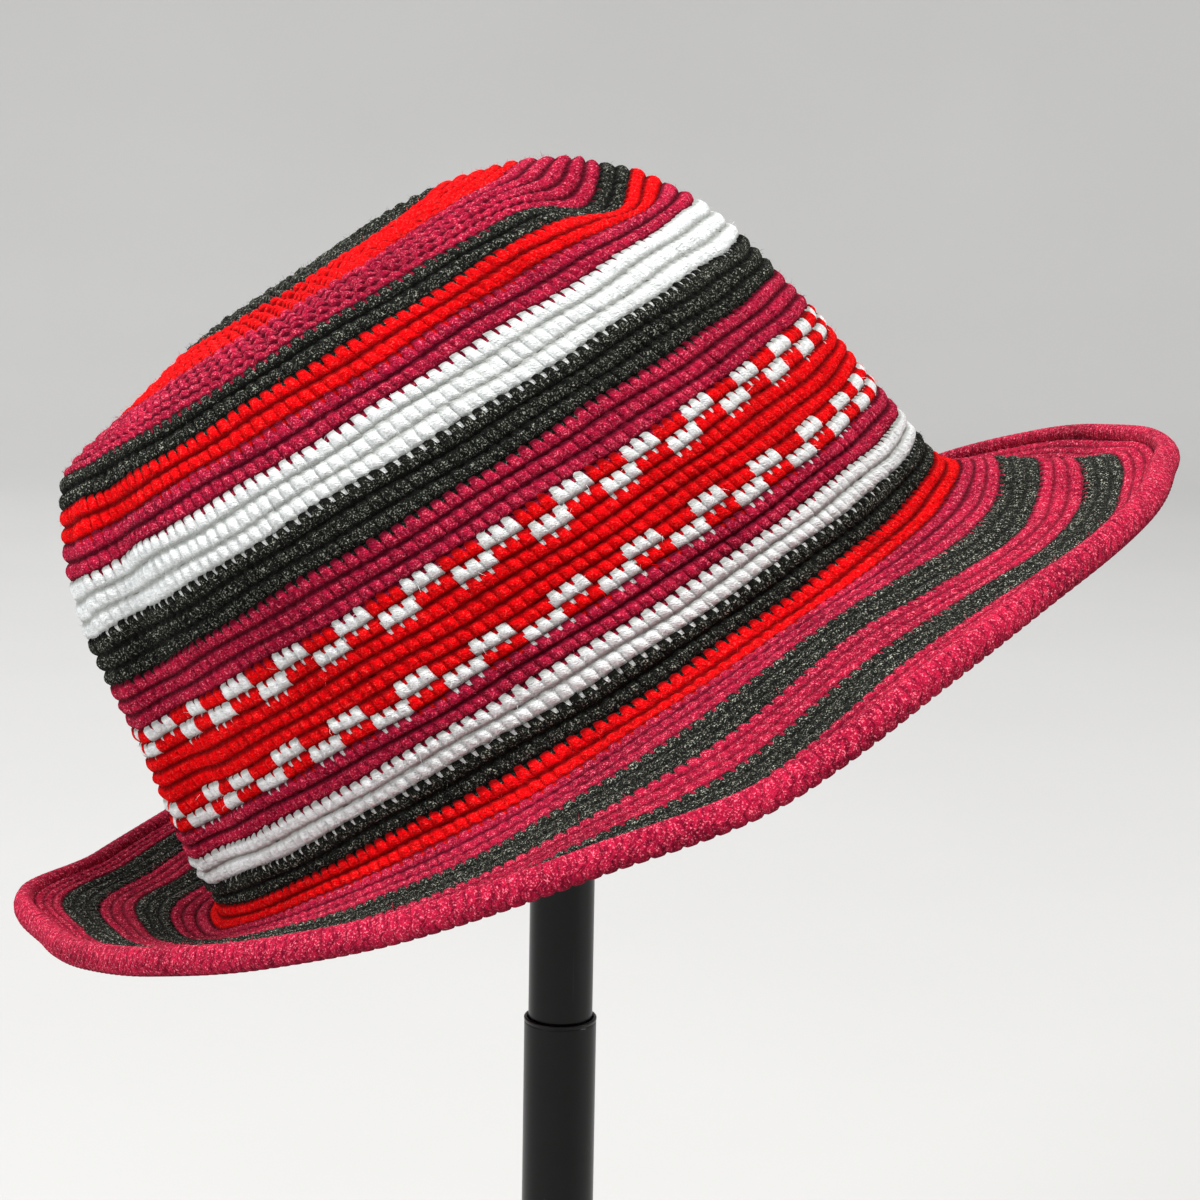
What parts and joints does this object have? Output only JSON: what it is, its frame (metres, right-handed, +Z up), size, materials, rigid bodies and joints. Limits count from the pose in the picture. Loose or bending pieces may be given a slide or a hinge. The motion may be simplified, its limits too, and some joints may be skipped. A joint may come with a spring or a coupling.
{
  "type": "crochet hat on display stand",
  "caption": "Striped crocheted hat with a flat pinched crown and a snapped brim, hung tipped back on a plain black telescopic display stand with a round foot.",
  "frame": {"origin": "centre of the underside of the stand's round foot", "axes": "+Z up along the stand's tubes; +X towards the front of the hat, which is tipped up by 32 degrees; +Y towards the wearer's left"},
  "size_m": [0.2807, 0.2964, 0.3918],
  "materials": {
    "crown_top": "matt cotton crochet",
    "crown_upper_side": "matt cotton crochet",
    "crown_lower_side": "matt cotton crochet",
    "brim": "matt cotton crochet",
    "brim_edge": "matt cotton crochet",
    "stand_base": "black satin powder coat",
    "stand_lower_tube": "black satin",
    "stand_upper_tube": "black satin",
    "stand_top": "black matt moulded"
  },
  "bodies": {
    "root": {"crown_top": "crown_top", "crown_upper_side": "crown_upper_side", "crown_lower_side": "crown_lower_side", "brim": "brim", "brim_edge": "brim_edge", "stand_base": "stand_base", "stand_lower_tube": "stand_lower_tube", "stand_upper_tube": "stand_upper_tube", "stand_top": "stand_top"}
  },
  "joints": []
}
